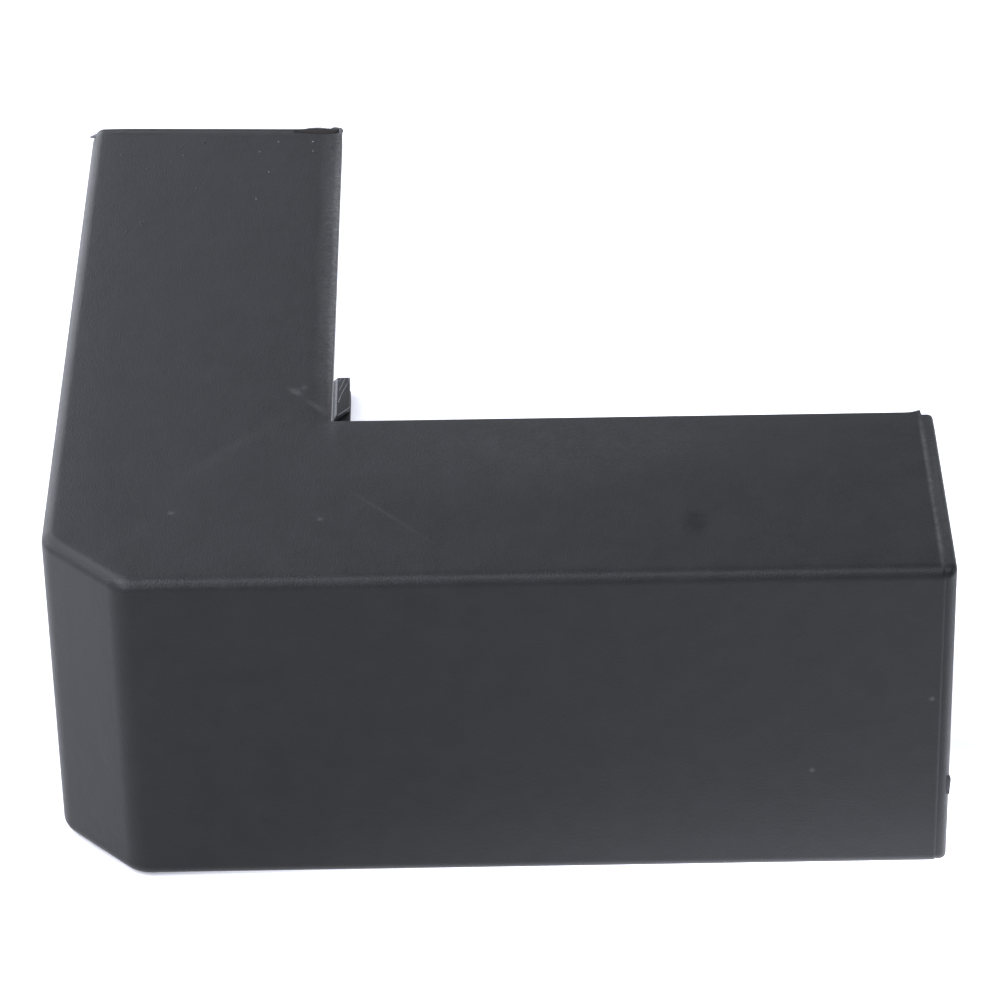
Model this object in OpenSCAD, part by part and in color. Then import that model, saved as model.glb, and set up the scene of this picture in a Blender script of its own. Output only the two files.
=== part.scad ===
// Trunking external corner: one moulded cover for trunking that turns round an outside wall corner.
// Sizes are in millimetres. The part lies on its lower cheek. Its outer corner points to low X and low Y,
// and its open side, which goes against the building's two walls, faces high X and high Y.

/* [Trunking it covers] */
// Width of the trunking on the wall
trunking_width = 25; // [16:1:50]
// Depth of the trunking off the wall
trunking_depth = 20; // [14:1:32]
// Play between the trunking and each cheek
cheek_play = 0.3; // [0.05:0.05:0.4]
// Room between the trunking's lid and the outer walls
lid_room = 0.3; // [0.1:0.05:0.8]

/* [Shell] */
// Thickness of the walls and cheeks
wall = 1.1; // [0.9:0.1:2]
// Length of each leg, from the meeting of the outer walls to the leg's end
leg = 68; // [56:1:120]
// Length cut from each outer wall by the slanted corner wall
corner_cut = 6; // [3:0.5:12]
// Rounding of the outer edges between walls and cheeks
edge_r = 1; // [0.6:0.05:1.1]
// Rounding of the upright edges on both sides of the slanted wall
bend_r = 2.6; // [1.5:0.1:3.5]
// Fillet of the inner edges between walls and cheeks
fillet_r = 0.25; // [0.1:0.05:0.4]

/* [End lips] */
// Length of the stepped-in lip at each leg's end
lip_len = 1.1; // [0.7:0.1:2]
// Step from the shell's surface in to the lip's surface
lip_step = 0.08; // [0.05:0.01:0.3]
// Step from a cheek's wall edge in to the lip's edge
lip_back = 0.35; // [0.1:0.05:0.5]
// Rounding of the lip's end
lip_r = 0.9; // [0.4:0.05:0.9]
// Rounding of the lip's corners at the cheeks' wall edges
lip_corner_r = 0.25; // [0.1:0.05:0.5]

/* [Clip nibs] */
// Length of a nib along the cheek's wall edge
nib_len = 4.8; // [3:0.1:10]
// Distance of a nib from the cheek's wall edge
nib_in = 0.1; // [0.05:0.05:0.6]
// Width of a nib's flat top
nib_flat = 1.1; // [0.6:0.1:3]
// Height of a nib over the cheek's inner face
nib_height = 0.5; // [0.3:0.05:0.8]
// Slope of a nib's side that faces into the channel, in degrees
nib_slope = 45; // [30:1:60]
// Turn of a nib's inner end away from square, in degrees
nib_skew = 52; // [0:1:60]

/* [Gate mark] */
// Height of the broken-off gate on the leg's end
gate_high = 1.8; // [1:0.1:3]
// Width of the broken-off gate across the wall
gate_wide = 0.5; // [0.3:0.05:0.6]
// Distance the broken-off gate stands out from the leg's end
gate_proud = 0.3; // [0.1:0.05:0.6]
// Height of the gate's middle over the part's underside
gate_up = 7.4; // [4:0.1:9]

/* [Hidden] */
$fn = 64;
// Overlap that joins solids and carries cuts past faces
over = 0.5;
// Hair by which an upright rounding crosses its walls
hair = 0.005;
// Angle from each outer wall to the slanted wall
slant = 45;
// Outer height, from the underside to the top
high = trunking_width + 2 * cheek_play + 2 * wall;
// Outer depth of a leg, from its outer wall to the wall that it is fixed on
deep = trunking_depth + lid_room + wall;
// Rounding of the channel's upright edges
bend_in_r = max(bend_r - wall, fillet_r);
// Where the shell stops and the lip begins
shell_end = leg - lip_len;
// Length by which the lip runs back inside the shell
lip_root = 2;
// Rounding of the lip's end that its wall has room for
lip_end_r = min(lip_r, wall - lip_step - 0.1);
// Depth by which a nib is rooted in its cheek
nib_root = 0.3;
// Shift that puts the middle of the bounding box's underside at the origin
shift_x = -(leg + gate_proud) / 2;
shift_y = -leg / 2;

// What lies between a square corner at the origin and a quarter circle, reaching out past the corner
module corner_sliver(r) {
  difference() {
    translate([-over, -over]) square(r + over);
    translate([r, r]) circle(r = r);
  }
}

// Section behind a wall's face, down to a depth, with the face's two edges rounded
module section(face, depth, r) {
  difference() {
    translate([face, face]) square([depth - face, high - 2 * face]);
    translate([face, face]) corner_sliver(r);
    translate([face, high - face]) mirror([0, 1]) corner_sliver(r);
  }
}

// A section drawn out along X, with its depth along Y
module along_x(length) {
  rotate([90, 0, 90]) linear_extrude(height = length) children();
}

// Swaps the leg along X for the leg along Y
module other_leg() {
  mirror([1, -1, 0]) children();
}

// Everything behind one straight wall
module behind_wall(face, r) {
  translate([-leg, 0, 0]) along_x(3 * leg) section(face, 2 * leg, r);
}

// What a rounding takes from the upright edge between the wall along X and the slanted wall
module upright_cut(face, r) {
  half = slant / 2;
  reach = r + over;
  tip = reach / cos(half);
  wedge = [
    [0, 0],
    [0, -reach],
    [-tip * sin(half), -tip * cos(half)],
    [-reach * sin(slant), -reach * cos(slant)]
  ];
  middle = [corner_cut + (face + r) * tan(half), face + r, -over];
  translate(middle) linear_extrude(height = high + 2 * over) difference() {
    polygon(wedge);
    circle(r = r + hair);
  }
}

// Square block behind both outer walls and the slanted wall, out to an end
module behind_walls(face, r, upright_r, end) {
  difference() {
    intersection() {
      behind_wall(face, r);
      other_leg() behind_wall(face, r);
      rotate([0, 0, -slant]) translate([0, corner_cut * sin(slant), 0]) behind_wall(face, r);
      translate([-over, -over, -over]) cube([end + over, end + over, high + 2 * over]);
    }
    upright_cut(face, upright_r);
    other_leg() upright_cut(face, upright_r);
  }
}

// Outside of the shell, without the space of the building's corner
module shell() {
  difference() {
    behind_walls(0, edge_r, bend_r, shell_end);
    translate([deep, deep, -over]) cube([leg, leg, high + 2 * over]);
  }
}

// What the rounding takes from the lower edge of the lip's end
module lip_end_cut() {
  translate([leg, deep, lip_step]) rotate([90, 0, 0]) linear_extrude(height = deep)
    mirror([1, 0]) corner_sliver(lip_end_r);
}

// Lip at the end of the leg along X, stepped in all round, with its end rounded
module lip() {
  length = lip_len + lip_root;
  difference() {
    translate([leg - length, 0, 0]) along_x(length) section(lip_step, deep - lip_back, edge_r - lip_step);
    lip_end_cut();
    translate([0, 0, high]) mirror([0, 0, 1]) lip_end_cut();
    linear_extrude(height = high) translate([leg, lip_step]) mirror([1, 0]) corner_sliver(lip_end_r);
    linear_extrude(height = high) translate([leg, deep - lip_back]) rotate(180) corner_sliver(lip_corner_r);
  }
}

// Clip nib on the lower cheek of the leg along X, with a sloping inner side and a slanted inner end
module nib() {
  rise = nib_root + nib_height;
  run = nib_flat + rise / tan(nib_slope);
  near = leg - nib_len;
  side = deep - nib_in;
  plan = [
    [leg, side],
    [near, side],
    [near - run * tan(nib_skew), side - run],
    [leg, side - run]
  ];
  profile = [
    [side, 0],
    [side, rise],
    [side - nib_flat, rise],
    [side - run, 0]
  ];
  translate([0, 0, wall - nib_root]) intersection() {
    linear_extrude(height = rise) polygon(plan);
    along_x(leg) polygon(profile);
  }
}

// Broken-off gate on the end of the leg along X, in the middle of the lip's wall
module gate_mark() {
  across = (lip_step + wall - gate_wide) / 2;
  translate([leg - over, across, gate_up - gate_high / 2]) cube([gate_proud + over, gate_wide, gate_high]);
}

// Nibs on both cheeks of one leg
module nib_pair() {
  nib();
  translate([0, 0, high]) mirror([0, 0, 1]) nib();
}

// The whole moulding, an L of two cheeks and three walls that is open towards the building
module corner_cover() {
  color([0.16, 0.16, 0.17]) translate([shift_x, shift_y, 0]) {
    difference() {
      union() {
        shell();
        lip();
        other_leg() lip();
        gate_mark();
      }
      behind_walls(wall, fillet_r, bend_in_r, leg + over);
    }
    nib_pair();
    other_leg() nib_pair();
  }
}

corner_cover();
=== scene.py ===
"""Dressed model of a trunking external corner: one moulded cover of charcoal rigid PVC.

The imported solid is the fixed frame. Sizes are in millimetres, measured from the cover's own corner, where its two
outer walls and its underside would meet, and become metres of the frame when a mesh is made.
"""
import logging
import math
import random
from dataclasses import dataclass
from enum import Enum
from typing import Any, Optional, Sequence

import bmesh
import bpy
from bmesh.types import BMesh, BMVert
from bpy.types import Material, Node, NodeSocket, NodeTree, Object
from mathutils import Euler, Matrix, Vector


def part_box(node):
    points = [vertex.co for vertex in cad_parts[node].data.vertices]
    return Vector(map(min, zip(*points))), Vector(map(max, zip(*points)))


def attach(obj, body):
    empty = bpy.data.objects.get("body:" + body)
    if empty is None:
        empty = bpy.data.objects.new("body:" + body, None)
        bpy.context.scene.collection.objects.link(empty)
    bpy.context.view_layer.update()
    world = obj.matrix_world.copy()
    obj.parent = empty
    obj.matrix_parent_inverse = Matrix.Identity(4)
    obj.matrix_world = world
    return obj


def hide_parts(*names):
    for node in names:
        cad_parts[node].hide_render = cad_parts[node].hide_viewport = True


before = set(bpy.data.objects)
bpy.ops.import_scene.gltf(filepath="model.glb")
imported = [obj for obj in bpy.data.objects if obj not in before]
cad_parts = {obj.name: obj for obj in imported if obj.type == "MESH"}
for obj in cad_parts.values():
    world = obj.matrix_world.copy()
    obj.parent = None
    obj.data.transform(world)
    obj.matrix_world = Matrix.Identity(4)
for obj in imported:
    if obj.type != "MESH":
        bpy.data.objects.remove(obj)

LOG = logging.getLogger("trunking_corner")
MM = 0.001
NODE = "corner_cover"
BODY = "root"

Plan = tuple[float, float]
Place = tuple[float, float, float]


class Leg(Enum):
    """The two legs of the cover, by the axis that each runs along."""

    ALONG_X = "x"
    ALONG_Y = "y"


class Cheek(Enum):
    """The two cheeks of the cover."""

    LOWER = "lower"
    UPPER = "upper"


class Outline(Enum):
    """What a point of the section keeps its distance from."""

    WALLS = "walls"
    FREE_EDGES = "free edges"


def linear(colour: str) -> tuple[float, float, float, float]:
    """Turns an sRGB hex colour into linear light.

    Args:
        colour: the colour as "#rrggbb".

    Returns:
        Linear red, green, blue and an alpha of one.
    """
    parts = [int(colour[i:i + 2], 16) / 255 for i in (1, 3, 5)]
    red, green, blue = (c / 12.92 if c <= 0.04045 else ((c + 0.055) / 1.055) ** 2.4 for c in parts)
    return red, green, blue, 1.0


def per_metre(size: float) -> float:
    """Texture scale for a pattern whose features are this many millimetres wide."""
    return 1 / (size * MM)


def add_node(tree: NodeTree, kind: str, inputs: Optional[dict[Any, Any]] = None, **settings: Any) -> Node:
    """Adds a node with its settings, values and links.

    Args:
        tree: the node tree that gets the node.
        kind: the node's type.
        inputs: what goes into its sockets, by name or index: an output socket to link, or a value.
        **settings: the node's own properties.

    Returns:
        The new node.
    """
    node = tree.nodes.new(kind)
    for name, value in settings.items():
        setattr(node, name, value)
    for key, value in (inputs or {}).items():
        if isinstance(value, NodeSocket):
            tree.links.new(value, node.inputs[key])
        else:
            node.inputs[key].default_value = value
    return node


def empty_material(name: str) -> tuple[Material, NodeTree, NodeSocket]:
    """Makes a material whose node tree only gives the place on the piece.

    Args:
        name: the material's name.

    Returns:
        The material, its tree and the socket of the place.
    """
    material = bpy.data.materials.new(name)
    material.use_nodes = True
    material.node_tree.nodes.clear()
    place = add_node(material.node_tree, "ShaderNodeTexCoord").outputs["Object"]
    return material, material.node_tree, place


def arc(start: float, end: float, steps: int) -> list[tuple[float, float]]:
    """Cosines and sines of angles from start to end.

    Args:
        start: first angle in degrees.
        end: last angle in degrees.
        steps: number of steps between them.

    Returns:
        One pair for each of steps + 1 angles.
    """
    angles = [math.radians(start + (end - start) * i / steps) for i in range(steps + 1)]
    return [(math.cos(a), math.sin(a)) for a in angles]


def mix(a: float, b: float, share: float) -> float:
    """Value at a share of the way from a to b."""
    return a + (b - a) * share


def rounding(r: float, far: float) -> float:
    """How far a rounding takes a surface in.

    Args:
        r: the rounding's radius.
        far: distance from the end that it rounds.

    Returns:
        The distance in, nothing beyond the radius.
    """
    return r - math.sqrt(r * r - max(r - far, 0.0) ** 2)


@dataclass(frozen=True)
class CornerFrame:
    """Where the cover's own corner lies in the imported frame, and the cover's overall sizes."""

    origin: Vector
    leg: float
    high: float
    # Depth of a leg from its outer wall to its free edges
    deep: float = 21.4
    wall: float = 1.1

    @classmethod
    def of_node(cls, node: str) -> "CornerFrame":
        """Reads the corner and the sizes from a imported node.

        Args:
            node: the node's name.

        Returns:
            The frame for that node.
        """
        low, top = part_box(node)
        return cls(low, (top.y - low.y) / MM, (top.z - low.z) / MM)

    def metres(self, place: Sequence[float]) -> Vector:
        """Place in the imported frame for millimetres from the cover's corner."""
        return self.origin + Vector(place) * MM

    def turned(self, leg: Leg, cheek: Cheek, place: Place) -> Place:
        """Carries a place on the lower cheek of the leg along X to another leg and cheek.

        Args:
            leg: the leg that it goes to.
            cheek: the cheek that it goes to.
            place: millimetres from the cover's corner.

        Returns:
            The mirrored place.
        """
        x, y, z = place
        if leg is Leg.ALONG_Y:
            x, y = y, x
        return x, y, self.high - z if cheek is Cheek.UPPER else z


def linked(name: str, data: Any) -> Object:
    """Makes an object and links it to the scene.

    Args:
        name: the object's name.
        data: its mesh, lamp or camera.

    Returns:
        The object.
    """
    made = bpy.data.objects.new(name, data)
    bpy.context.scene.collection.objects.link(made)
    return made


def skin(shape: BMesh, rows: Sequence[Sequence[BMVert]]) -> None:
    """Closes a shape over its rings.

    Args:
        shape: the shape that gets the faces.
        rows: the rings in order, all with the same number of points.
    """
    count = len(rows[0])
    for near, far in zip(rows, rows[1:]):
        for i in range(count):
            j = (i + 1) % count
            shape.faces.new((near[i], near[j], far[j], far[i]))
    shape.faces.new(rows[0])
    shape.faces.new(reversed(rows[-1]))


def mesh_piece(name: str, shape: BMesh, crease: float = 35.0) -> Object:
    """Makes a smooth-shaded object of a closed shape.

    Args:
        name: the piece's name.
        shape: the shape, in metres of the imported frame. It is freed.
        crease: angle in degrees past which an edge stays sharp.

    Returns:
        The object, linked to the scene.
    """
    bmesh.ops.recalc_face_normals(shape, faces=shape.faces)
    for face in shape.faces:
        face.smooth = True
    for edge in shape.edges:
        if len(edge.link_faces) == 2:
            edge.smooth = edge.calc_face_angle() < math.radians(crease)
    mesh = bpy.data.meshes.new(name)
    shape.to_mesh(mesh)
    shape.free()
    return linked(name, mesh)


def dress(piece: Object, material: Material) -> Object:
    """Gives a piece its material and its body.

    Args:
        piece: the piece.
        material: its material.

    Returns:
        The same piece.
    """
    piece.data.materials.clear()
    piece.data.materials.append(material)
    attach(piece, BODY)
    return piece


@dataclass(frozen=True)
class Mark:
    """A soft-edged mark or painted highlight on the moulding, lighter above a tone of zero and darker below it."""

    middle: Place
    reach: Place
    tone: float
    turn: float = 0.0


@dataclass(frozen=True)
class SatinPvc:
    """Rigid PVC, injection moulded against a fine-blasted tool.

    To the eye it is near black with a satin sheen, so most of its grey is the bright room that it mirrors. It has a
    fine grain, slow shrinkage waves, faint flow mottle, handling marks that show pale, and pale painted highlights
    and sheen on some edges and tops.
    """

    body: str = "#0c0c0d"
    flow: str = "#101112"
    # Colour of pale handling marks, and of the painted highlights and sheen
    pale: str = "#727170"
    soot: str = "#020202"
    # Roughness, and how far the mottle moves it
    roughness: float = 0.42
    play: float = 0.025
    # Real blasting is about 0.05 mm wide; it is drawn coarser so that it shows
    grain: float = 0.13
    mottle: float = 2.6
    # Width of the shrinkage waves
    wave: float = 1.3
    grain_depth: float = 0.05
    wave_depth: float = 0.04
    # Width of the gaps that break up a mark
    speckle: float = 0.35
    # How much duller a dark mark is
    dulling: float = 0.25
    ior: float = 1.52
    # Strength of the mirroring, under the 0.5 of bare plastic because the blasted skin scatters
    gloss: float = 0.22
    # Handling marks and spots, and painted highlights and sheen on edges and tops
    marks: tuple[Mark, ...] = ()

    def material(self, corner: CornerFrame) -> Material:
        """Builds the material.

        Args:
            corner: where the marks are measured from.

        Returns:
            The material.
        """
        material, tree, place = empty_material("PVC_moulded_satin")
        mottle = add_node(tree, "ShaderNodeTexNoise", {
            "Vector": place, "Scale": per_metre(self.mottle), "Detail": 4.0, "Roughness": 0.6}).outputs["Fac"]
        flow = add_node(tree, "ShaderNodeMapRange", {"Value": mottle, "From Min": 0.35, "From Max": 0.65})
        # Tone of the marks, painted highlights and sheen included
        tone = self.mark_tone(tree, place, corner)
        pale = add_node(tree, "ShaderNodeMath", {0: tone, 1: 0.0}, operation="MAXIMUM")
        dark = add_node(tree, "ShaderNodeMath", {0: tone, 1: -1.0}, operation="MULTIPLY", use_clamp=True)
        colour: Any = linear(self.body)
        for share, other in ((flow, self.flow), (pale, self.pale), (dark, self.soot)):
            colour = add_node(tree, "ShaderNodeMix", {0: share.outputs[0], 6: colour, 7: linear(other)},
                              data_type="RGBA").outputs[2]
        sheen = add_node(tree, "ShaderNodeMapRange", {
            "Value": mottle, "From Min": 0.3, "From Max": 0.7,
            "To Min": self.roughness - self.play, "To Max": self.roughness + self.play})
        dulled = add_node(tree, "ShaderNodeMath", {
            0: dark.outputs[0], 1: self.dulling, 2: sheen.outputs[0]}, operation="MULTIPLY_ADD")
        # The grain lies on the waves
        below: dict[str, Any] = {}
        for size, detail, rough, depth, strength in ((self.wave, 1.0, 0.5, self.wave_depth, 0.5),
                                                     (self.grain, 2.0, 0.55, self.grain_depth, 0.6)):
            height = add_node(tree, "ShaderNodeTexNoise", {
                "Vector": place, "Scale": per_metre(size), "Detail": detail, "Roughness": rough})
            bump = add_node(tree, "ShaderNodeBump", {
                "Height": height.outputs["Fac"], "Distance": depth * MM, "Strength": strength, **below})
            below = {"Normal": bump.outputs[0]}
        shader = add_node(tree, "ShaderNodeBsdfPrincipled", {
            "Base Color": colour, "Roughness": dulled.outputs[0], "IOR": self.ior,
            "Specular IOR Level": self.gloss, **below})
        add_node(tree, "ShaderNodeOutputMaterial", {"Surface": shader.outputs[0]})
        return material

    def mark_tone(self, tree: NodeTree, place: NodeSocket, corner: CornerFrame) -> NodeSocket:
        """Adds up the tones of the marks and of the painted highlights.

        Args:
            tree: the material's tree.
            place: socket that gives the place on the piece.
            corner: where the marks are measured from.

        Returns:
            A socket with the total tone, broken up by a fine noise.
        """
        total: Any = 0.0
        for mark in self.marks:
            local = add_node(tree, "ShaderNodeMapping", {
                "Vector": place, "Location": corner.metres(mark.middle),
                "Rotation": (0.0, 0.0, math.radians(mark.turn)), "Scale": Vector(mark.reach) * MM},
                vector_type="TEXTURE")
            fade = add_node(tree, "ShaderNodeTexGradient", {"Vector": local.outputs[0]}, gradient_type="SPHERICAL")
            total = add_node(tree, "ShaderNodeMath", {0: fade.outputs["Fac"], 1: mark.tone, 2: total},
                             operation="MULTIPLY_ADD").outputs[0]
        speckle = add_node(tree, "ShaderNodeTexNoise", {
            "Vector": place, "Scale": per_metre(self.speckle), "Detail": 3.0, "Roughness": 0.7})
        broken = add_node(tree, "ShaderNodeMapRange", {
            "Value": speckle.outputs["Fac"], "From Min": 0.3, "From Max": 0.7, "To Min": 0.3, "To Max": 1.5})
        return add_node(tree, "ShaderNodeMath", {0: total, 1: broken.outputs[0]}, operation="MULTIPLY").outputs[0]


@dataclass(frozen=True)
class WornFinish:
    """A rough, uneven finish with paler scars: PVC that was torn, rubbed or broken off, or what lies on it, and the
    ridges of painted shade and painted highlight.
    """

    name: str
    body: str
    scar: str
    roughness: float
    # Width and depth of the scars
    scars: float = 0.3
    scar_depth: float = 0.05
    # Strength of the mirroring, 0.5 for bare plastic
    gloss: float = 0.5
    ior: float = 1.5

    def material(self) -> Material:
        """Builds the material.

        Returns:
            The material.
        """
        material, tree, place = empty_material(self.name)
        scars = add_node(tree, "ShaderNodeTexNoise", {
            "Vector": place, "Scale": per_metre(self.scars), "Detail": 3.0, "Roughness": 0.65}).outputs["Fac"]
        share = add_node(tree, "ShaderNodeMapRange", {"Value": scars, "From Min": 0.42, "From Max": 0.72})
        colour = add_node(tree, "ShaderNodeMix", {
            0: share.outputs[0], 6: linear(self.body), 7: linear(self.scar)}, data_type="RGBA")
        rough = add_node(tree, "ShaderNodeMapRange", {
            "Value": scars, "To Min": self.roughness - 0.1, "To Max": self.roughness + 0.15})
        bump = add_node(tree, "ShaderNodeBump", {
            "Height": scars, "Distance": self.scar_depth * MM, "Strength": 0.6})
        shader = add_node(tree, "ShaderNodeBsdfPrincipled", {
            "Base Color": colour.outputs[2], "Roughness": rough.outputs[0], "IOR": self.ior,
            "Specular IOR Level": self.gloss, "Normal": bump.outputs[0]})
        add_node(tree, "ShaderNodeOutputMaterial", {"Surface": shader.outputs[0]})
        return material


@dataclass(frozen=True)
class Pool:
    """A soft pool of light on the floor: its middle and its reach in metres, and its strength."""

    middle: Plan
    reach: Plan
    strength: float


@dataclass(frozen=True)
class PaperFloor:
    """Matt pale studio paper, lit from below in places: no gloss, and bright enough to burn out behind the part."""

    paper: str = "#cfcfcf"
    lit: str = "#f1f4ff"
    glow: float = 0.04
    # Width and depth of the paper's fibres
    fibre: float = 1.5
    fibre_depth: float = 0.02
    pools: tuple[Pool, ...] = ()

    def material(self) -> Material:
        """Builds the material.

        Returns:
            The material.
        """
        material, tree, place = empty_material("studio_paper_white")
        fibre = add_node(tree, "ShaderNodeTexNoise", {"Vector": place, "Scale": per_metre(self.fibre), "Detail": 3.0})
        bump = add_node(tree, "ShaderNodeBump", {
            "Height": fibre.outputs["Fac"], "Distance": self.fibre_depth * MM, "Strength": 0.1})
        glow: Any = self.glow
        for pool in self.pools:
            local = add_node(tree, "ShaderNodeMapping", {
                "Vector": place, "Location": (*pool.middle, 0.0), "Scale": (*pool.reach, 1.0)}, vector_type="TEXTURE")
            fade = add_node(tree, "ShaderNodeTexGradient", {"Vector": local.outputs[0]}, gradient_type="SPHERICAL")
            glow = add_node(tree, "ShaderNodeMath", {0: fade.outputs["Fac"], 1: pool.strength, 2: glow},
                            operation="MULTIPLY_ADD").outputs[0]
        shader = add_node(tree, "ShaderNodeBsdfPrincipled", {
            "Base Color": linear(self.paper), "Roughness": 0.95, "Specular IOR Level": 0.1,
            "Emission Color": linear(self.lit), "Emission Strength": glow, "Normal": bump.outputs[0]})
        add_node(tree, "ShaderNodeOutputMaterial", {"Surface": shader.outputs[0]})
        return material


@dataclass(frozen=True)
class EndWarp:
    """How the end of a leg is out of true: not square across its upper cheek, leaning, and drawn in below."""

    corner: CornerFrame
    leg: Leg
    # How far the upper cheek's end is out of square at each of its sides
    skew: float = 0.0
    # How far the lower cheek's end stands out, and the upper one's
    lean: float = 0.0
    upper_lean: float = 0.0
    # How far the lower cheek's free edge is drawn in
    narrow: float = 0.0

    def moved(self, place: Place) -> Place:
        """Moves a place on that leg.

        Args:
            place: the place on a true leg.

        Returns:
            The moved place.
        """
        x, y, z = place
        along, across = (x, y) if self.leg is Leg.ALONG_X else (y, x)
        deep = self.corner.deep
        share = max(along - deep, 0.0) / (self.corner.leg - deep)
        up, aside = z / self.corner.high, across / deep
        along += share * (self.skew * (1 - 2 * aside) * up + mix(self.lean, self.upper_lean, up))
        across -= share * self.narrow * aside * (1 - up)
        return (along, across, z) if self.leg is Leg.ALONG_X else (across, along, z)


@dataclass(frozen=True)
class Station:
    """A section of a leg: its distance along the leg, its walls' step, its cheeks' step and its free edges' step."""

    far: float
    step: float = 0.0
    fall: float = 0.0
    back: float = 0.0


@dataclass(frozen=True)
class SectionPoint:
    """A point of the cover's section: its distance in from an outline, and its height over the middle."""

    outline: Outline
    inset: float
    rise: float


@dataclass
class CoverShell:
    """The moulding itself: a three-sided section that follows the L of the two legs and ends in stepped lips."""

    corner: CornerFrame
    warps: dict[Leg, EndWarp]
    cut: float = 6.0
    edge_r: float = 1.0
    bend_r: float = 2.6
    fillet_r: float = 0.25
    lip_len: float = 0.9
    lip_step: float = 0.08
    lip_back: float = 0.22
    lip_r: float = 0.9
    # Rounding of the lip's end on the cheeks, on the leg along X and on the leg along Y
    lip_cheek_r: float = 0.5
    soft_lip_cheek_r: float = 0.75
    lip_corner_r: float = 0.18
    # Length over which the shell's end slopes down to the lip, on the leg along X and on the leg along Y
    brink: float = 0.26
    soft_brink: float = 0.9
    # Rounding of a cheek's free edge on its outside and on its inside, and the share of the edge that it may take
    rim_r: float = 0.16
    lining_r: float = 0.1
    rim_share: float = 0.45
    # Least rounding that a step in leaves on the edges and on the bends
    least_edge_r: float = 0.15
    least_bend_r: float = 0.05
    # Rounding of the inner corner between the two legs
    crook_r: float = 0.15
    # Fall of a cheek towards its free edge, and the width over which it falls
    droop: float = 0.09
    droop_width: float = 2.4
    # Fall of a cheek towards the outer walls before the rounding begins, and its width
    shoulder: float = 0.06
    shoulder_width: float = 3.0
    # Rise of the upper cheek's corner at the end of the leg along X, its length and its width
    curl: float = 0.3
    curl_length: float = 1.5
    curl_width: float = 1.2
    # Distance of the rows that keep the flat faces flat beside a rounding
    guard: float = 0.06
    # Shares of the way at which the falls of a cheek are sampled
    droop_shares: tuple[float, ...] = (0.15, 0.35, 0.55, 0.78, 1.0)
    shoulder_shares: tuple[float, ...] = (1.0, 0.75, 0.5, 0.25, 0.1)
    lining_steps: int = 3
    rim_steps: int = 4
    edge_steps: int = 10
    fillet_steps: int = 5
    lip_steps: int = 10
    brink_steps: int = 5
    curl_steps: int = 6
    bend_steps: int = 8
    wall_steps: int = 4
    leg_steps: int = 8

    def section(self, station: Station) -> list[SectionPoint]:
        """Closed section of the moulding.

        Args:
            station: the steps of the section.

        Returns:
            The points, from the upper free edge over the top, down the wall, round below and back up inside.
        """
        half = self.corner.high / 2
        step, back = station.step, station.back
        top = half - station.fall
        wall = self.corner.wall
        lining = half - wall
        edge_r = max(self.edge_r - step, self.least_edge_r)
        rim_r = min(self.rim_r, (top - lining - self.droop) * self.rim_share)
        lining_r = min(self.lining_r, rim_r)
        edge, walls = Outline.FREE_EDGES, Outline.WALLS
        outer: list[SectionPoint] = []
        for c, s in arc(-90, -180, self.lining_steps):
            outer.append(SectionPoint(edge, back + lining_r * (1 + c), lining + lining_r * (1 + s)))
        for c, s in arc(180, 90, self.rim_steps):
            outer.append(SectionPoint(edge, back + rim_r * (1 + c), top - rim_r * (1 - s) - self.droop))
        for share in self.droop_shares:
            fall = self.droop * (1 - share) ** 2
            outer.append(SectionPoint(edge, back + mix(rim_r, self.droop_width, share), top - fall))
        for share in self.shoulder_shares:
            fall = self.shoulder * (1 - share) ** 2
            outer.append(SectionPoint(walls, step + edge_r + self.shoulder_width * share, top - fall))
        for c, s in arc(90, 180, self.edge_steps):
            outer.append(SectionPoint(walls, step + edge_r * (1 + c), top - edge_r * (1 - s) - self.shoulder))
        outer.append(SectionPoint(walls, step, top - edge_r - self.shoulder - self.guard))
        outer.append(SectionPoint(walls, step, top / 2))
        inner = [SectionPoint(walls, wall + self.fillet_r + self.guard, lining)]
        for c, s in arc(90, 180, self.fillet_steps):
            inner.append(SectionPoint(walls, wall + self.fillet_r * (1 + c), lining - self.fillet_r * (1 - s)))
        under = [SectionPoint(p.outline, p.inset, -p.rise) for p in reversed(outer)]
        below = [SectionPoint(p.outline, p.inset, -p.rise) for p in inner]
        front, inside = SectionPoint(walls, step, 0.0), SectionPoint(walls, wall, 0.0)
        return [*outer, front, *under, *below, inside, *reversed(inner)]

    def leg_stations(self, slope: float, cheek_r: float) -> list[Station]:
        """Where the sections of a leg lie.

        Args:
            slope: length over which the shell's end slopes down to the lip.
            cheek_r: rounding of the lip's end on the cheeks.

        Returns:
            The sections, from the leg's end to the corner.
        """
        leg = self.corner.leg
        brink = leg - self.lip_len
        stations = []
        for c, s in arc(90, 0, self.lip_steps):
            far = self.lip_r * (1 - s)
            stations.append(Station(leg - far, self.lip_step + self.lip_r * (1 - c),
                                    self.lip_step + rounding(cheek_r, far),
                                    self.lip_back + rounding(self.lip_corner_r, far)))
        tilt = 2 * math.atan2(self.lip_step, slope)
        brow = slope / math.sin(tilt)
        for c, s in arc(math.degrees(tilt), 0, self.brink_steps):
            drop = brow * (1 - c)
            stations.append(Station(brink - slope + brow * s, drop, drop, drop * self.lip_back / self.lip_step))
        start, end = brink - slope - self.guard, self.corner.deep + self.crook_r
        stations += [Station(start - self.curl_length * i / self.curl_steps) for i in range(self.curl_steps)]
        start -= self.curl_length
        return stations + [Station(mix(start, end, i / self.leg_steps)) for i in range(self.leg_steps)]

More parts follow.
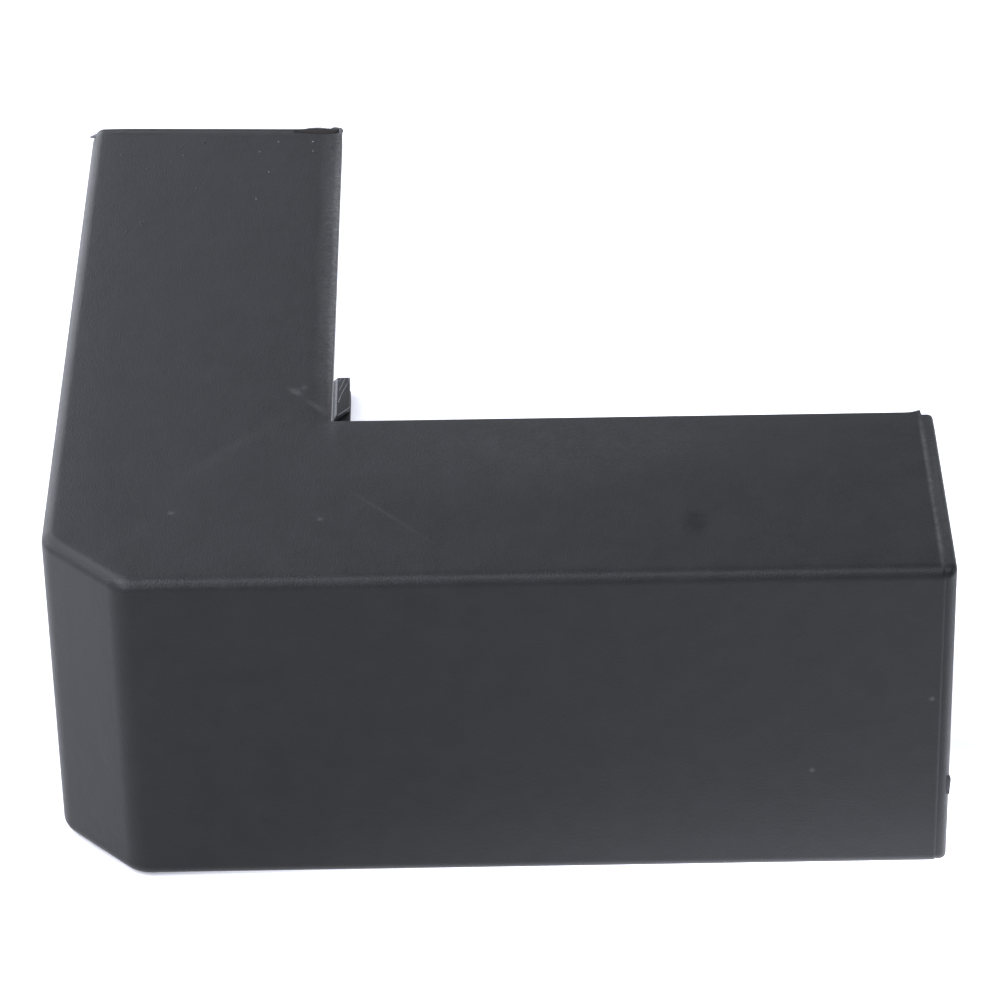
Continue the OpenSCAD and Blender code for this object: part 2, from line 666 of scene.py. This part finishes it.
    def curled(self, place: Place) -> Place:
        """Lifts the free corner of the upper cheek at the end of the leg along X, short of the lip.

        Args:
            place: a place on that leg.

        Returns:
            The moved place.
        """
        x, y, z = place
        brink = self.corner.leg - self.lip_len
        peak = brink - self.brink / 4
        along = (x - peak + self.curl_length) / self.curl_length if x < peak else (brink - x) / (brink - peak)
        across = (y - self.corner.deep + self.curl_width) / self.curl_width
        if z < self.corner.high / 2 or along <= 0.0 or across <= 0.0:
            return place
        return x, y, z + self.curl * along ** 3 * across ** 2

    def across_corner(self, point: SectionPoint) -> list[Plan]:
        """Path of a section point round the corner, from the leg along Y to the leg along X.

        Args:
            point: the section's point.

        Returns:
            Places in plan, the same number for every point.
        """
        near = self.corner.deep + self.crook_r
        if point.outline is Outline.FREE_EDGES:
            steps = 2 * self.bend_steps + 3 * self.wall_steps
            reach = self.crook_r + point.inset
            return [(near + reach * c, near + reach * s) for c, s in arc(180, 270, steps)]
        inset = point.inset
        r = max(self.bend_r - inset, self.least_bend_r)
        middle = (inset + r, self.cut + (inset + r) * math.tan(math.radians(22.5)))
        bend = [(middle[0] + r * c, middle[1] + r * s) for c, s in arc(180, 225, self.bend_steps)]
        path = [(inset, mix(near, bend[0][1], i / self.wall_steps)) for i in range(self.wall_steps)]
        path += bend
        start, end = bend[-1], bend[-1][::-1]
        path += [(mix(start[0], end[0], i / self.wall_steps), mix(start[1], end[1], i / self.wall_steps))
                 for i in range(1, self.wall_steps)]
        mirrored = [(y, x) for x, y in reversed(path[:self.wall_steps + self.bend_steps + 1])]
        return path + mirrored

    def leg_rings(self, stations: list[Station]) -> list[list[Place]]:
        """Sections of a true leg along Y.

        Args:
            stations: where they lie.

        Returns:
            The places of each section, in the same order.
        """
        deep, half = self.corner.deep, self.corner.high / 2
        return [[(deep - p.inset if p.outline is Outline.FREE_EDGES else p.inset, station.far, half + p.rise)
                 for p in self.section(station)] for station in stations]

    def rings(self) -> list[list[Place]]:
        """All sections of the moulding in order, from the end of the leg along Y to the end of the leg along X."""
        half = self.corner.high / 2
        whole = self.section(Station(self.corner.deep))
        paths = [self.across_corner(p) for p in whole]
        round_corner = [[(*path[i], half + p.rise) for p, path in zip(whole, paths)] for i in range(len(paths[0]))]
        soft, crisp = (self.leg_rings(self.leg_stations(slope, cheek_r)) for slope, cheek_r in (
            (self.soft_brink, self.soft_lip_cheek_r), (self.brink, self.lip_cheek_r)))
        along_y = [[self.warps[Leg.ALONG_Y].moved(place) for place in ring] for ring in soft]
        along_x = [[self.warps[Leg.ALONG_X].moved(self.curled((y, x, z))) for x, y, z in ring]
                   for ring in reversed(crisp)]
        return along_y + round_corner + along_x

    def build(self) -> Object:
        """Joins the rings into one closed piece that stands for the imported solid.

        Returns:
            The piece.
        """
        shape = bmesh.new()
        rows = [[shape.verts.new(self.corner.metres(place)) for place in ring] for ring in self.rings()]
        skin(shape, rows)
        piece = mesh_piece("cover_shell", shape)
        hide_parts(NODE)
        return piece


@dataclass
class ClipNibs:
    """The four nibs at the leg ends that snap over the trunking, each with a sloping side and a slanted end."""

    corner: CornerFrame
    warps: dict[Leg, EndWarp]
    length: float = 4.8
    # Distance of the nib from the cheek's free edge
    set_in: float = 0.1
    flat: float = 1.1
    high: float = 0.5
    root: float = 0.3
    slope: float = 45.0
    skew: float = 52.0
    # Softening of the nib's edges
    soft: float = 0.035

    def corners(self) -> list[Place]:
        """Corners of the nib on the lower cheek of the leg along X, low ones before high ones."""
        rise = self.root + self.high
        run = self.flat + rise / math.tan(math.radians(self.slope))
        low, top = self.corner.wall - self.root, self.corner.wall + self.high
        lean = math.tan(math.radians(self.skew))
        leg, near, side = self.corner.leg, self.corner.leg - self.length, self.corner.deep - self.set_in
        return [(leg, side, low), (near, side, low), (near - run * lean, side - run, low),
                (leg, side - run, low), (leg, side, top), (near, side, top),
                (near - self.flat * lean, side - self.flat, top), (leg, side - self.flat, top)]

    def build(self) -> Object:
        """Builds the four nibs as one piece.

        Returns:
            The piece.
        """
        shape = bmesh.new()
        sides = ((0, 1, 2, 3), (4, 7, 6, 5), (0, 4, 5, 1), (1, 5, 6, 2), (2, 6, 7, 3), (3, 7, 4, 0))
        for leg in Leg:
            for cheek in Cheek:
                places = [self.warps[leg].moved(self.corner.turned(leg, cheek, place)) for place in self.corners()]
                verts = [shape.verts.new(self.corner.metres(place)) for place in places]
                for side in sides:
                    shape.faces.new([verts[i] for i in side])
        bmesh.ops.recalc_face_normals(shape, faces=shape.faces)
        bmesh.ops.bevel(shape, geom=list(shape.edges), offset=self.soft * MM, offset_type="OFFSET", segments=3,
                        profile=0.5, affect="EDGES", clamp_overlap=True)
        return mesh_piece("clip_nibs", shape)


@dataclass
class GateStub:
    """What is left of the gate on the end of the leg along X, broken off by hand."""

    corner: CornerFrame
    middle: Plan = (0.625, 7.4)
    wide: float = 0.5
    high: float = 1.8
    proud: float = 0.13
    root: float = 0.5
    # Rounding of the stub's edges, as a share of its sides
    soft: float = 0.22
    ragged: float = 0.05
    seed: int = 5

    def build(self) -> Object:
        """Builds the stub as a rounded, torn block.

        Returns:
            The piece.
        """
        shape = bmesh.new()
        bmesh.ops.create_cube(shape, size=1.0)
        bmesh.ops.bevel(shape, geom=list(shape.edges), offset=self.soft, offset_type="OFFSET", segments=2,
                        profile=0.5, affect="EDGES", clamp_overlap=True)
        bmesh.ops.subdivide_edges(shape, edges=list(shape.edges), cuts=1, use_grid_fill=True)
        chance = random.Random(self.seed)
        across, up = self.middle
        length = self.proud + self.root
        for vert in shape.verts:
            tear = [chance.uniform(-self.ragged, self.ragged) * max(vert.co.x + 0.5, 0.0) for _ in range(3)]
            vert.co = self.corner.metres((self.corner.leg + self.proud - length * (0.5 - vert.co.x) + tear[0],
                                          across + vert.co.y * self.wide + tear[1],
                                          up + vert.co.z * self.high + tear[2]))
        return mesh_piece("gate_stub", shape, crease=60.0)


@dataclass(frozen=True)
class Fin:
    """A thin ragged fin of flash: where it starts and ends on the moulding, its heights, and which way it stands."""

    start: Place
    end: Place
    heights: tuple[float, ...]
    stands: Place = (0.0, 0.0, 1.0)
    thick: float = 0.22
    thin: float = 0.07
    root: float = 0.12


@dataclass
class EndFlash:
    """Flash left standing along the mould's parting at the leg ends."""

    corner: CornerFrame
    fins: tuple[Fin, ...]
    ragged: float = 0.03
    samples: int = 6
    seed: int = 11

    def build(self) -> Object:
        """Builds all fins as one piece.

        Returns:
            The piece.
        """
        shape = bmesh.new()
        chance = random.Random(self.seed)
        for fin in self.fins:
            self.add_fin(shape, fin, chance)
        return mesh_piece("end_flash", shape, crease=50.0)

    def add_fin(self, shape: BMesh, fin: Fin, chance: random.Random) -> None:
        """Adds one fin to the shape.

        Args:
            shape: the shape that it goes into.
            fin: the fin.
            chance: source of its ragged edge.
        """
        start, end, up = Vector(fin.start), Vector(fin.end), Vector(fin.stands).normalized()
        across = (end - start).cross(up).normalized()
        spans = len(fin.heights) - 1
        rows = []
        for i in range(spans * self.samples + 1):
            share = i / (spans * self.samples)
            span = min(int(share * spans), spans - 1)
            high = mix(fin.heights[span], fin.heights[span + 1], share * spans - span)
            high += chance.uniform(-self.ragged, self.ragged)
            foot = start.lerp(end, share) + across * chance.uniform(-0.5, 0.5) * self.ragged
            waist = mix(fin.thick, fin.thin, 0.6) / 2
            profile = ((-fin.root, -fin.thick / 2), (-fin.root, fin.thick / 2), (0.0, fin.thick / 2),
                       (high * 0.45, waist), (high, fin.thin / 2), (high, -fin.thin / 2), (high * 0.5, -waist))
            rows.append([shape.verts.new(self.corner.metres(foot + up * rise + across * side))
                         for rise, side in profile])
        skin(shape, rows)


@dataclass
class NodeTool:
    """A geometry node tree with named inputs, and the values that one use of it takes."""

    tree: NodeTree

    @classmethod
    def new(cls, name: str, sockets: dict[str, str]) -> "NodeTool":
        """Makes a tree with a geometry socket on both ends and named inputs.

        Args:
            name: the tree's name.
            sockets: kind of each further input, by its name.

        Returns:
            The tool, still without nodes.
        """
        tree = bpy.data.node_groups.new(name, "GeometryNodeTree")
        tree.interface.new_socket("Geometry", in_out="INPUT", socket_type="NodeSocketGeometry")
        tree.interface.new_socket("Geometry", in_out="OUTPUT", socket_type="NodeSocketGeometry")
        for label, kind in sockets.items():
            tree.interface.new_socket(label, in_out="INPUT", socket_type=f"NodeSocket{kind}")
        return cls(tree)

    def run(self, piece: Object, values: dict[str, Any]) -> Object:
        """Runs the tree on a piece and keeps the result as a plain mesh.

        Args:
            piece: the object that the tree starts from.
            values: value of each named input.

        Returns:
            The same object with its new mesh.
        """
        modifier = piece.modifiers.new(self.tree.name, "NODES")
        modifier.node_group = self.tree
        for item in self.tree.interface.items_tree:
            if item.in_out == "INPUT" and item.name in values:
                modifier[item.identifier] = values[item.name]
        graph = bpy.context.evaluated_depsgraph_get()
        mesh = bpy.data.meshes.new_from_object(piece.evaluated_get(graph), depsgraph=graph)
        piece.modifiers.clear()
        piece.data = mesh
        return piece


def speck_tool() -> NodeTool:
    """Builds the tree that sows flattened grains on a patch, or puts one on each point of it.

    Returns:
        The tool.
    """
    tool = NodeTool.new("sown_grains", {
        "Density": "Float", "Smallest": "Float", "Largest": "Float", "Flatness": "Float", "Seed": "Int",
        "Sown": "Bool", "Material": "Material"})
    tree = tool.tree
    start = add_node(tree, "NodeGroupInput").outputs
    sown = add_node(tree, "GeometryNodeDistributePointsOnFaces", {
        "Mesh": start["Geometry"], "Density": start["Density"], "Seed": start["Seed"]}, distribute_method="RANDOM")
    points = add_node(tree, "GeometryNodeSwitch", {
        "Switch": start["Sown"], "False": start["Geometry"], "True": sown.outputs["Points"]}, input_type="GEOMETRY")
    size = add_node(tree, "FunctionNodeRandomValue", {
        2: start["Smallest"], 3: start["Largest"], "Seed": start["Seed"]}, data_type="FLOAT")
    thick = add_node(tree, "ShaderNodeMath", {0: size.outputs[1], 1: start["Flatness"]}, operation="MULTIPLY")
    scale = add_node(tree, "ShaderNodeCombineXYZ", {0: size.outputs[1], 1: size.outputs[1], 2: thick.outputs[0]})
    grain = add_node(tree, "GeometryNodeMeshUVSphere", {"Segments": 8, "Rings": 5, "Radius": 1.0})
    grains = add_node(tree, "GeometryNodeInstanceOnPoints", {
        "Points": points.outputs[0], "Instance": grain.outputs["Mesh"], "Scale": scale.outputs[0]})
    real = add_node(tree, "GeometryNodeRealizeInstances", {"Geometry": grains.outputs[0]})
    smooth = add_node(tree, "GeometryNodeSetShadeSmooth", {"Geometry": real.outputs[0]})
    painted = add_node(tree, "GeometryNodeSetMaterial", {
        "Geometry": smooth.outputs[0], "Material": start["Material"]})
    add_node(tree, "NodeGroupOutput", {"Geometry": painted.outputs[0]})
    return tool


def ridge_tool() -> NodeTool:
    """Builds the tree that lays a fine ridge along every edge of a line.

    Returns:
        The tool.
    """
    tool = NodeTool.new("laid_ridges", {"Radius": "Float", "Spacing": "Float", "Material": "Material"})
    tree = tool.tree
    start = add_node(tree, "NodeGroupInput").outputs
    line = add_node(tree, "GeometryNodeMeshToCurve", {"Mesh": start["Geometry"]})
    spaced = add_node(tree, "GeometryNodeResampleCurve", {
        "Curve": line.outputs[0], "Length": start["Spacing"]}, mode="LENGTH")
    ring = add_node(tree, "GeometryNodeCurvePrimitiveCircle", {"Resolution": 6, "Radius": start["Radius"]})
    ridge = add_node(tree, "GeometryNodeCurveToMesh", {
        "Curve": spaced.outputs[0], "Profile Curve": ring.outputs[0], "Fill Caps": True})
    real = add_node(tree, "GeometryNodeRealizeInstances", {"Geometry": ridge.outputs[0]})
    painted = add_node(tree, "GeometryNodeSetMaterial", {
        "Geometry": real.outputs[0], "Material": start["Material"]})
    add_node(tree, "NodeGroupOutput", {"Geometry": painted.outputs[0]})
    return tool


@dataclass
class SurfaceSpecks:
    """Grains that stand on a patch of the moulding: pimples from the mould, or dust."""

    corner: CornerFrame
    name: str
    smallest: float
    largest: float
    flatness: float
    seed: int
    # Grains to a square millimetre, and the corners of the patch that they are sown on
    per_square: float = 0.0
    low: Place = (0.0, 0.0, 0.0)
    high: Place = (0.0, 0.0, 0.0)
    # Where single grains stand instead
    points: tuple[Place, ...] = ()

    def build(self, tool: NodeTool, material: Material) -> Object:
        """Sows the grains on their level patch, or puts one on each point.

        Args:
            tool: the tree that sows them.
            material: their material.

        Returns:
            The piece.
        """
        (x0, y0, z), (x1, y1, _) = self.low, self.high
        places = self.points or ((x0, y0, z), (x1, y0, z), (x1, y1, z), (x0, y1, z))
        mesh = bpy.data.meshes.new(self.name)
        mesh.from_pydata([self.corner.metres(p) for p in places], [], [] if self.points else [(0, 1, 2, 3)])
        return tool.run(linked(self.name, mesh), {
            "Density": self.per_square / MM ** 2, "Smallest": self.smallest * MM, "Largest": self.largest * MM,
            "Flatness": self.flatness, "Seed": self.seed, "Sown": not self.points, "Material": material})


@dataclass
class ScratchAndPaintedLightRidges:
    """Thin ridges on the moulding, such as the burrs of scratches, dark lines of painted shade and pale lines of
    painted highlight, as lines of places.
    """

    corner: CornerFrame
    name: str
    lines: tuple[tuple[Place, ...], ...]
    radius: float
    # Distance of the rings that a ridge is made of
    spacing: float = 0.12

    def build(self, tool: NodeTool, material: Material) -> Object:
        """Lays the ridges.

        Args:
            tool: the tree that lays them.
            material: their material.

        Returns:
            The piece.
        """
        places: list[Vector] = []
        edges: list[tuple[int, int]] = []
        for line in self.lines:
            first = len(places)
            places += [self.corner.metres(p) for p in line]
            edges += [(first + i, first + i + 1) for i in range(len(line) - 1)]
        mesh = bpy.data.meshes.new(self.name)
        mesh.from_pydata(places, edges, [])
        return tool.run(linked(self.name, mesh), {
            "Radius": self.radius * MM, "Spacing": self.spacing * MM, "Material": material})


@dataclass(frozen=True)
class SoftBox:
    """A large soft lamp: its place, width and height in metres, its power in watts, and what it aims at."""

    name: str
    place: Place
    width: float
    height: float
    power: float
    aim: Place = (0.0, 0.0, 0.0)
    tint: str = "#f1f4ff"

    def light(self) -> None:
        """Makes the lamp."""
        lamp = bpy.data.lights.new(self.name, "AREA")
        lamp.shape = "RECTANGLE"
        lamp.size, lamp.size_y = self.width, self.height
        lamp.energy = self.power
        lamp.color = linear(self.tint)[:3]
        box = linked(self.name, lamp)
        box.location = self.place
        box.rotation_euler = (Vector(self.aim) - Vector(self.place)).to_track_quat("-Z", "Y").to_euler()


@dataclass
class Studio:
    """Floor, light and camera."""

    floor_side: float = 3.0
    # Gap that keeps the floor clear of the underside
    floor_gap: float = 0.02
    room: str = "#f1f4ff"
    room_light: float = 0.32
    boxes: tuple[SoftBox, ...] = ()
    # The camera's place in millimetres of the frame, its turns in degrees and its lens, fitted to the photograph
    eye: Place = (-0.299, -306.054, 218.664)
    tilt: Place = (55.906, 0.712, -0.574)
    lens: float = 163.18
    sensor: float = 36.0
    # Nearest distance that the camera sees, in metres
    nearest: float = 0.01

    def lay_floor(self, finish: PaperFloor) -> None:
        """Lays the floor under the part.

        Args:
            finish: the floor's finish.
        """
        shape = bmesh.new()
        bmesh.ops.create_grid(shape, x_segments=8, y_segments=8, size=self.floor_side / 2)
        for vert in shape.verts:
            vert.co.z -= self.floor_gap * MM
        mesh = bpy.data.meshes.new("studio_floor")
        shape.to_mesh(mesh)
        shape.free()
        mesh.materials.append(finish.material())
        floor = linked("studio_floor", mesh)

    def light_room(self) -> None:
        """Sets the room's own light, the lamps and a plain rendering of tones."""
        scene = bpy.context.scene
        world = bpy.data.worlds.new("studio_room")
        world.use_nodes = True
        world.node_tree.nodes.clear()
        sky = add_node(world.node_tree, "ShaderNodeBackground", {
            "Color": linear(self.room), "Strength": self.room_light})
        add_node(world.node_tree, "ShaderNodeOutputWorld", {"Surface": sky.outputs[0]})
        scene.world = world
        for box in self.boxes:
            box.light()
        scene.view_settings.view_transform = "Standard"
        scene.view_settings.look = "None"

    def place_camera(self) -> None:
        """Puts the camera where the photograph was taken from."""
        data = bpy.data.cameras.new("photo_camera")
        data.sensor_width = self.sensor
        data.lens = self.lens
        data.clip_start = self.nearest
        camera = linked("photo_camera", data)
        camera.location = Vector(self.eye) * MM
        camera.rotation_euler = Euler([math.radians(a) for a in self.tilt])
        bpy.context.scene.camera = camera


# Height of the cover's top
TOP = 27.8

# Marks on the moulding, with painted highlights and painted sheen among them
MARKS_AND_HIGHLIGHTS = (
    # Scuff, smear and scratch on the corner of the top
    Mark((18.5, 25.5, TOP), (1.0, 0.45, 0.6), 0.14, turn=-51.0),
    Mark((20.2, 23.3, TOP), (2.0, 0.35, 0.6), 0.09, turn=-51.0),
    Mark((19.2, 26.0, TOP), (0.4, 0.4, 0.4), 0.08),
    Mark((14.05, 17.8, TOP), (8.0, 0.9, 0.6), 0.03, turn=48.0),
    Mark((25.75, 8.4, TOP), (6.6, 0.25, 0.5), 0.05, turn=-48.4),
    # Pale and dark spots
    Mark((9.64, 8.91, TOP), (0.4, 0.35, 0.4), 0.16),
    Mark((20.83, 7.79, TOP), (0.35, 0.3, 0.4), 0.16),
    Mark((48.76, 6.65, TOP), (1.4, 2.4, 0.6), -1.5),
    Mark((66.37, 0.0, 15.94), (0.3, 0.4, 0.3), 0.2),
    Mark((57.56, 0.0, 9.44), (0.3, 0.4, 0.3), 0.2),
    # Painted highlight along the free edge of the leg along Y: a pale band where the rounded edge mirrors the bright
    # room
    Mark((21.4, 61.0, TOP), (1.9, 16.0, 0.8), 0.15),
    Mark((21.4, 46.0, TOP), (1.9, 16.0, 0.8), 0.15),
    Mark((21.4, 32.0, TOP), (1.7, 14.0, 0.8), 0.12),
    Mark((21.5, 56.0, TOP - 0.1), (0.7, 20.0, 0.6), 0.34),
    Mark((21.5, 36.0, TOP - 0.1), (0.7, 18.0, 0.6), 0.30),
    # Painted sheen: the far part of the top of the leg along X, towards its free edge, made lighter
    Mark((33.0, 18.0, TOP), (18.0, 9.0, 0.6), 0.035),
    Mark((48.0, 18.0, TOP), (16.0, 7.0, 0.6), 0.025),
    # Painted highlight on the step's rounded edge and on the lip at the end of the leg along X
    Mark((66.8, 3.5, TOP), (0.3, 6.5, 0.5), 0.19),
    Mark((66.8, 10.5, TOP), (0.3, 6.5, 0.5), 0.17),
    Mark((66.8, 17.0, TOP), (0.3, 6.5, 0.5), 0.19),
    Mark((67.5, 6.0, TOP - 0.1), (0.9, 12.0, 0.6), 0.06),
    Mark((67.5, 15.0, TOP - 0.1), (0.9, 12.0, 0.6), 0.06),
)

# Flash at the free corner of the leg along Y, its return along the free edge, and a spur at the outer corner
FINS = (
    Fin((17.4, 67.2, TOP - 0.25), (21.45, 67.2, TOP - 0.25),
        (0.02, 0.1, 0.18, 0.22, 0.25, 0.27, 0.26, 0.2, 0.16, 0.29, 0.24, 0.02), thick=0.26, thin=0.08),
    Fin((21.22, 66.1, TOP - 0.3), (21.22, 67.3, TOP - 0.3), (0.16, 0.22, 0.24), thick=0.34, thin=0.2),
    Fin((0.35, 67.5, TOP - 0.45), (0.35, 67.0, TOP - 0.45), (0.3, 0.62, 0.56, 0.3), (-1.0, 0.0, -0.25), thick=0.16),
)

# Scratches on the nib that shows through the open side, and painted highlights along its edges
NIB_SCRATCHES_AND_HIGHLIGHTS = (
    ((20.98, 67.5, 1.6), (20.5, 65.8, 1.6), (20.24, 64.4, 1.6)),
    ((20.75, 68.3, 1.6), (20.5, 67.2, 1.6), (20.3, 66.4, 1.6)),
    ((21.1, 68.4, 1.6), (21.15, 67.6, 1.6)),
    ((20.42, 68.4, 1.6), (20.28, 67.9, 1.6)),
    # Painted highlight: a pale ridge along the edge of the slanted end
    ((20.24, 62.32, 1.59), (21.25, 63.62, 1.59)),
    # Painted highlight: pale ridges along the edge of the sloping side
    *(((20.1 - d, 62.35 - d, 1.59 - d), (20.1 - d, 68.42, 1.59 - d)) for d in (0.0, 0.05, 0.1, 0.15)),
)

# Painted shade: dark ridges along the shadow in the step and under the flash at the end of the leg along Y
STEP_SHADE_LINES = (
    ((1.6, 66.76, TOP - 0.125), (3.0, 66.7, TOP - 0.085), (5.0, 66.62, TOP - 0.08), (7.5, 66.54, TOP - 0.1)),
    ((17.3, 66.95, TOP - 0.1), (18.4, 66.98, TOP - 0.09), (19.8, 66.96, TOP - 0.1), (21.1, 66.93, TOP - 0.16)),
    ((17.5, 66.8, TOP - 0.09), (18.6, 66.82, TOP - 0.08), (19.9, 66.8, TOP - 0.09), (21.0, 66.78, TOP - 0.15)),
    ((17.2, 66.64, TOP - 0.08), (18.4, 66.66, TOP - 0.06), (19.8, 66.64, TOP - 0.07), (21.0, 66.62, TOP - 0.13)),
    ((17.9, 66.48, TOP - 0.07), (19.0, 66.5, TOP - 0.05), (20.1, 66.48, TOP - 0.06), (20.8, 66.46, TOP - 0.11)),
    ((18.6, 66.33, TOP - 0.07), (19.5, 66.35, TOP - 0.06), (20.4, 66.32, TOP - 0.09)),
)

# Single grains of dust on the far end of the top
DUST = ((15.33, 59.81, TOP), (14.41, 55.31, TOP), (14.43, 63.23, TOP), (15.99, 64.91, TOP), (18.93, 64.82, TOP),
        (18.97, 63.22, TOP))

# Lamps round the part: most of the light on the top comes from behind, from low down and more from the left
BOXES = (
    SoftBox("over_left_box", (-0.5, 0.3, 0.85), 0.7, 0.7, 8.7),
    SoftBox("over_front_box", (0.05, -0.42, 0.8), 0.7, 0.4, 3.5),
    SoftBox("over_front_left_box", (-0.45, -0.32, 0.75), 0.5, 0.4, 8.8),
    SoftBox("front_left_box", (-0.5, -0.9, 0.45), 0.6, 0.4, 9.5),
    SoftBox("left_low_box", (-1.0, 0.2, 0.3), 0.8, 0.4, 7.0),
    SoftBox("back_high_box", (0.0, 0.7, 0.9), 1.0, 0.4, 0.9),
    SoftBox("back_box", (0.0, 1.1, 0.5), 1.2, 0.3, 1.1),
    SoftBox("back_left_box", (-0.6, 0.9, 0.3), 0.8, 0.4, 4.6),
    SoftBox("back_right_box", (0.6, 0.9, 0.3), 0.8, 0.4, 0.6),
    SoftBox("right_low_box", (1.0, -0.05, 0.3), 0.6, 0.3, 2.4),
)

# Brighter parts of the floor: they show as the lighter parts of the front, of the slanted wall and of the left edge,
# and lift the shade between the legs
POOLS = (
    Pool((0.07, -0.075), (0.09, 0.06), 1.15),
    Pool((0.043, -0.033), (0.075, 0.014), 2.9),
    Pool((-0.12, -0.01), (0.09, 0.1), 0.75),
    Pool((-0.2, 0.25), (0.17, 0.2), 7.0),
    Pool((0.012, 0.012), (0.06, 0.06), 1.05),
    Pool((0.07, 0.0), (0.045, 0.07), 0.24),
)

# PVC polished by handling: near black, with a faint paler scuff
RUBBED = WornFinish("PVC_rubbed", "#0e0f10", "#1c1d1f", 0.5)
# PVC torn at the mould's parting: dull, and pale where it was stretched
TORN = WornFinish("PVC_torn", "#2c2d2d", "#5a5d5c", 0.6)
# PVC snapped off at the gate: as dark as the skin, but uneven
BROKEN = WornFinish("PVC_broken_off", "#0c0c0d", "#17181a", 0.5)
# PVC whitened by stress along scratches, also used for the painted highlights on the nib's edges: a pale grey line
STRESSED_AND_HIGHLIGHT = WornFinish("PVC_stress_whitened_and_highlight", "#77797b", "#9a9c9e", 0.6)
# Painted shade for the step's shadow lines: brownish black, and duller than the skin round it
PAINTED_SHADE_FINISH = WornFinish("painted_step_shade", "#14110f", "#211d1a", 0.85, gloss=0.25)
# House dust: matt pale grey grains
LINT = WornFinish("house_dust", "#5f6163", "#7d7f81", 0.9)


def main() -> None:
    """Builds the part piece by piece, then the studio."""
    logging.basicConfig(level=logging.INFO, format="%(name)s: %(message)s")
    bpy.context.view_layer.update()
    corner = CornerFrame.of_node(NODE)
    warps = {Leg.ALONG_X: EndWarp(corner, Leg.ALONG_X, lean=0.16, upper_lean=-0.15),
             Leg.ALONG_Y: EndWarp(corner, Leg.ALONG_Y, skew=0.4, lean=0.55, narrow=0.1)}
    satin = SatinPvc(marks=MARKS_AND_HIGHLIGHTS).material(corner)
    rubbed, torn, broken, stressed_and_highlight, painted_shade, lint = (
        finish.material() for finish in (RUBBED, TORN, BROKEN, STRESSED_AND_HIGHLIGHT, PAINTED_SHADE_FINISH, LINT))
    grains, ridges = speck_tool(), ridge_tool()
    # The pimples' middles lie a little under the top
    sunk = TOP - 0.012
    pimples = SurfaceSpecks(corner, "mould_pimples", smallest=0.08, largest=0.16, flatness=0.25, seed=3,
                            per_square=0.2, low=(2.0, 50.0, sunk), high=(10.0, 66.0, sunk))
    dust = SurfaceSpecks(corner, "dust_specks", smallest=0.06, largest=0.09, flatness=0.5, seed=7, points=DUST)
    pieces = [
        dress(CoverShell(corner, warps).build(), satin),
        dress(ClipNibs(corner, warps).build(), rubbed),
        dress(GateStub(corner).build(), broken),
        dress(EndFlash(corner, FINS).build(), torn),
        # Painted shade: dark ridges where shadow falls in the step
        dress(ScratchAndPaintedLightRidges(corner, "step_shade_ridges", STEP_SHADE_LINES, radius=0.1).build(ridges, painted_shade), painted_shade),
        # Scratches, and painted highlights on the nib's edges
        dress(ScratchAndPaintedLightRidges(corner, "nib_scratches_and_highlights", NIB_SCRATCHES_AND_HIGHLIGHTS, radius=0.03).build(ridges, stressed_and_highlight), stressed_and_highlight),
        dress(pimples.build(grains, satin), satin),
        dress(dust.build(grains, lint), lint),
    ]
    for piece in pieces:
        LOG.info("%s: %d faces", piece.name, len(piece.data.polygons))
    studio = Studio(boxes=BOXES)
    studio.lay_floor(PaperFloor(pools=POOLS))
    studio.light_room()
    studio.place_camera()


if __name__ == "__main__":
    main()
